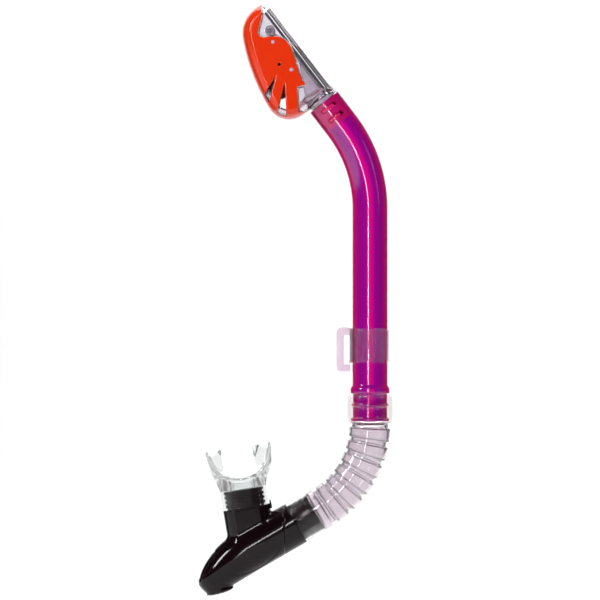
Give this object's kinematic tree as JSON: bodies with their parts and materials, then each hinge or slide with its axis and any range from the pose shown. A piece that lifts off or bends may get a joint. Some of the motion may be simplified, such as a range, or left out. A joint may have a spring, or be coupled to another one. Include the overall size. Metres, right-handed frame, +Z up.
{
  "type": "snorkel tube",
  "caption": "Dry-top snorkel: bent tube with float-valve head, swivelling mask-strap keeper, ribbed flexible hose, lower chamber, purge valve and mouthpiece.",
  "frame": {"origin": "centre of the strap slot in the keeper's hook", "axes": "+Z up along the barrel's straight axis, +X from the slot to the barrel, Y across; the snorkel is symmetric about Y = 0"},
  "size_m": [0.1458, 0.038, 0.4441],
  "materials": {
    "barrel_plastic": "gloss, translucent magenta",
    "clear_plastic": "gloss, clear",
    "cover_plastic": "gloss, opaque orange-red",
    "pin_steel": "plain",
    "seal_rubber": "matt",
    "arm_plastic": "satin",
    "float_plastic": "satin",
    "keeper_plastic": "gloss, clear",
    "hose_silicone": "soft gloss, clear",
    "chamber_plastic": "gloss, smoke",
    "disc_silicone": "soft",
    "mouth_silicone": "soft gloss, clear"
  },
  "bodies": {
    "clip": {"keeper_clip": "keeper_plastic"},
    "sleeve": {"keeper_sleeve": "keeper_plastic"},
    "tube": {"barrel": "barrel_plastic", "valve_tube": "clear_plastic", "head_housing": "clear_plastic", "splash_cover": "cover_plastic", "cover_pegs": "clear_plastic", "hinge_pin": "pin_steel", "head_oring": "seal_rubber"},
    "float": {"float_arm": "arm_plastic", "float_shell": "float_plastic", "valve_seal": "seal_rubber", "seal_button": "arm_plastic"},
    "hose": {"flex_hose": "hose_silicone"},
    "chamber": {"chamber_connector": "chamber_plastic", "lower_chamber": "chamber_plastic", "mouthpiece": "mouth_silicone", "purge_frame": "chamber_plastic", "purge_cover": "chamber_plastic"},
    "purge": {"purge_disc": "disc_silicone"}
  },
  "joints": [
    {"name": "keeper_swivel", "type": "hinge", "parent": "clip", "child": "sleeve", "pos_m": [0.01765, 0, 0], "axis": [0, 0, 1], "continuous": true},
    {"name": "keeper_slide", "type": "slide", "parent": "sleeve", "child": "tube", "axis": [0, 0, 1], "range_m": [-0.088, 0.0155]},
    {"name": "float_swing", "type": "hinge", "parent": "tube", "child": "float", "pos_m": [-0.05695, 0, 0.23835], "axis": [0, 1, 0], "range_deg": [-10, 0]},
    {"name": "hose_swivel", "type": "hinge", "parent": "tube", "child": "hose", "pos_m": [0.01765, 0, -0.0552], "axis": [0, 0, 1], "continuous": true},
    {"name": "hose_bend", "type": "hinge", "parent": "hose", "child": "chamber", "pos_m": [0.00485, 0, -0.09053], "axis": [0, 1, 0], "range_deg": [-40, 25], "stiffness_Nm_per_rad": 0.35, "springref_deg": 7.98, "deforming": ["flex_hose"]},
    {"name": "purge_lift", "type": "slide", "parent": "chamber", "child": "purge", "axis": [0.2756, 0, -0.9613], "range_m": [0, 0.0015], "stiffness_N_per_m": 40}
  ]
}
